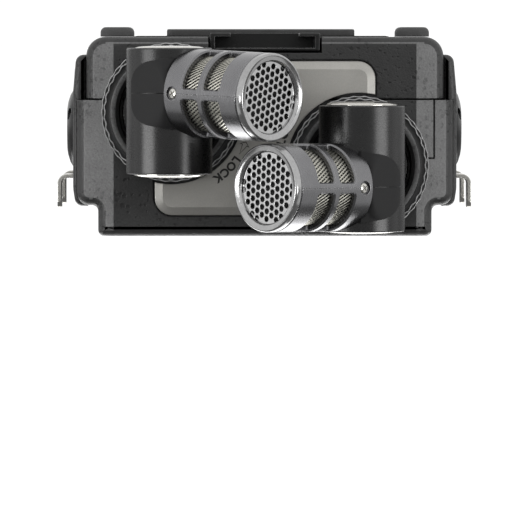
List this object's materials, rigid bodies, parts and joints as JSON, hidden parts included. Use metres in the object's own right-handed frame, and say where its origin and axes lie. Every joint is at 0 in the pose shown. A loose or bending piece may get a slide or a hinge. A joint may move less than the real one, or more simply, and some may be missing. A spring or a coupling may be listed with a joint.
{
  "type": "portable field recorder",
  "caption": "Handheld audio recorder with a touch screen, jog dial, side input jacks and two detachable crossed microphones on lock rings.",
  "frame": {"origin": "centre of the footprint, on the plane of the rear feet and pad, with the recorder lying on its back", "axes": "+Z out of the screen, +Y towards the microphones, +X to the right when the screen is read"},
  "size_m": [0.0776, 0.2076, 0.0387],
  "materials": {
    "case_plastic": "fine pebble-grained black moulding",
    "satin_plastic": "smooth satin black moulding",
    "dial_plastic": "knurled black moulding",
    "key_plastic": "smooth dark grey moulding",
    "gloss_plastic": "glossy black moulding",
    "rubber": "smooth dark rubber",
    "display_glass": "black cover glass over the screen, polished",
    "circuit_board": "green solder mask",
    "nickel_plate": "satin nickel plate with a brighter bevel",
    "silver_metal": "satin silver die casting",
    "chrome": "polished chrome with a perforated face",
    "wire_mesh": "fine diagonal wire mesh, warm silver",
    "polished_steel": "bright plated steel",
    "grey_lens": "translucent grey indicator lens",
    "red_lens": "translucent red indicator lens, lit",
    "cell_wrap": "printed steel cell"
  },
  "bodies": {
    "recorder": {"front_shell": "case_plastic", "back_shell": "case_plastic", "side_plate_left": "case_plastic", "side_plate_right": "case_plastic", "display_glass": "display_glass", "display_panel": "satin_plastic", "main_board": "circuit_board", "strap_pin_left": "polished_steel", "strap_pin_right": "polished_steel", "peak_lens": "grey_lens", "record_lens": "red_lens", "speaker_grille": "gloss_plastic", "speaker": "satin_plastic", "card_slot": "polished_steel", "top_plate": "nickel_plate", "phones_jack": "gloss_plastic", "usb_port": "polished_steel", "accessory_shoe": "gloss_plastic", "foot_left": "rubber", "foot_right": "rubber", "tripod_bushing": "polished_steel", "battery_springs": "polished_steel", "battery_contacts": "polished_steel", "input_jack_1": "gloss_plastic", "battery_1": "cell_wrap", "input_jack_2": "gloss_plastic", "battery_2": "cell_wrap", "input_jack_3": "gloss_plastic", "battery_3": "cell_wrap", "input_jack_4": "gloss_plastic", "battery_4": "cell_wrap"},
    "dial": {"dial": "dial_plastic"},
    "stop_key": {"stop_key": "key_plastic"},
    "rewind_key": {"rewind_key": "key_plastic"},
    "forward_key": {"forward_key": "key_plastic"},
    "play_key": {"play_key": "key_plastic"},
    "mark_key": {"mark_key": "key_plastic"},
    "record_key": {"record_key": "key_plastic"},
    "power_slider": {"power_slider": "key_plastic"},
    "lock_ring_left": {"lock_ring_left": "dial_plastic"},
    "lock_ring_right": {"lock_ring_right": "dial_plastic"},
    "battery_door": {"battery_door": "case_plastic", "battery_door_pad": "rubber"},
    "card_cover": {"card_cover": "rubber"},
    "latch_1": {"latch_1": "polished_steel"},
    "latch_2": {"latch_2": "polished_steel"},
    "latch_3": {"latch_3": "polished_steel"},
    "latch_4": {"latch_4": "polished_steel"},
    "mic_left": {"mic_left_body": "satin_plastic", "mic_left_neck": "satin_plastic", "mic_left_housing": "silver_metal", "mic_left_screen": "wire_mesh", "mic_left_capsule": "satin_plastic", "mic_left_grille": "chrome"},
    "mic_right": {"mic_right_body": "satin_plastic", "mic_right_neck": "satin_plastic", "mic_right_housing": "silver_metal", "mic_right_screen": "wire_mesh", "mic_right_capsule": "satin_plastic", "mic_right_grille": "chrome"}
  },
  "joints": [
    {"name": "dial_turn", "type": "hinge", "parent": "recorder", "child": "dial", "pos_m": [0, -0.0903, 0.033], "axis": [0, 0, 1], "continuous": true},
    {"name": "stop_key_press", "type": "slide", "parent": "recorder", "child": "stop_key", "axis": [0, 0, -1], "range_m": [0, 0.0004], "stiffness_N_per_m": 500},
    {"name": "rewind_key_press", "type": "slide", "parent": "recorder", "child": "rewind_key", "axis": [0, 0, -1], "range_m": [0, 0.0004], "stiffness_N_per_m": 500},
    {"name": "forward_key_press", "type": "slide", "parent": "recorder", "child": "forward_key", "axis": [0, 0, -1], "range_m": [0, 0.0004], "stiffness_N_per_m": 500},
    {"name": "play_key_press", "type": "slide", "parent": "recorder", "child": "play_key", "axis": [0, 0, -1], "range_m": [0, 0.0004], "stiffness_N_per_m": 500},
    {"name": "mark_key_press", "type": "slide", "parent": "recorder", "child": "mark_key", "axis": [0, 0, -1], "range_m": [0, 0.0004], "stiffness_N_per_m": 500},
    {"name": "record_key_press", "type": "slide", "parent": "recorder", "child": "record_key", "axis": [0, 0, -1], "range_m": [0, 0.0004], "stiffness_N_per_m": 500},
    {"name": "power_slide", "type": "slide", "parent": "recorder", "child": "power_slider", "axis": [0, 1, 0], "range_m": [-0.0025, 0.0025]},
    {"name": "lock_ring_left_turn", "type": "hinge", "parent": "recorder", "child": "lock_ring_left", "pos_m": [-0.01735, 0.0642, 0.0157], "axis": [0, 1, 0], "range_deg": [0, 30]},
    {"name": "lock_ring_right_turn", "type": "hinge", "parent": "recorder", "child": "lock_ring_right", "pos_m": [0.01735, 0.0642, 0.0255], "axis": [0, 1, 0], "range_deg": [0, 30]},
    {"name": "mic_left_remove", "type": "slide", "parent": "recorder", "child": "mic_left", "axis": [0, 1, 0], "range_m": [0, 0.012]},
    {"name": "mic_right_remove", "type": "slide", "parent": "recorder", "child": "mic_right", "axis": [0, 1, 0], "range_m": [0, 0.012]},
    {"name": "latch_1_press", "type": "slide", "parent": "recorder", "child": "latch_1", "axis": [1, 0, 0], "range_m": [0, 0.0012], "stiffness_N_per_m": 500},
    {"name": "latch_2_press", "type": "slide", "parent": "recorder", "child": "latch_2", "axis": [-1, 0, 0], "range_m": [0, 0.0012], "stiffness_N_per_m": 500},
    {"name": "latch_3_press", "type": "slide", "parent": "recorder", "child": "latch_3", "axis": [1, 0, 0], "range_m": [0, 0.0012], "stiffness_N_per_m": 500},
    {"name": "latch_4_press", "type": "slide", "parent": "recorder", "child": "latch_4", "axis": [-1, 0, 0], "range_m": [0, 0.0012], "stiffness_N_per_m": 500},
    {"name": "battery_door_slide", "type": "slide", "parent": "recorder", "child": "battery_door", "axis": [0, -1, 0], "range_m": [0, 0.015]},
    {"name": "card_cover_pull", "type": "slide", "parent": "recorder", "child": "card_cover", "axis": [0, -1, 0], "range_m": [0, 0.006]}
  ]
}
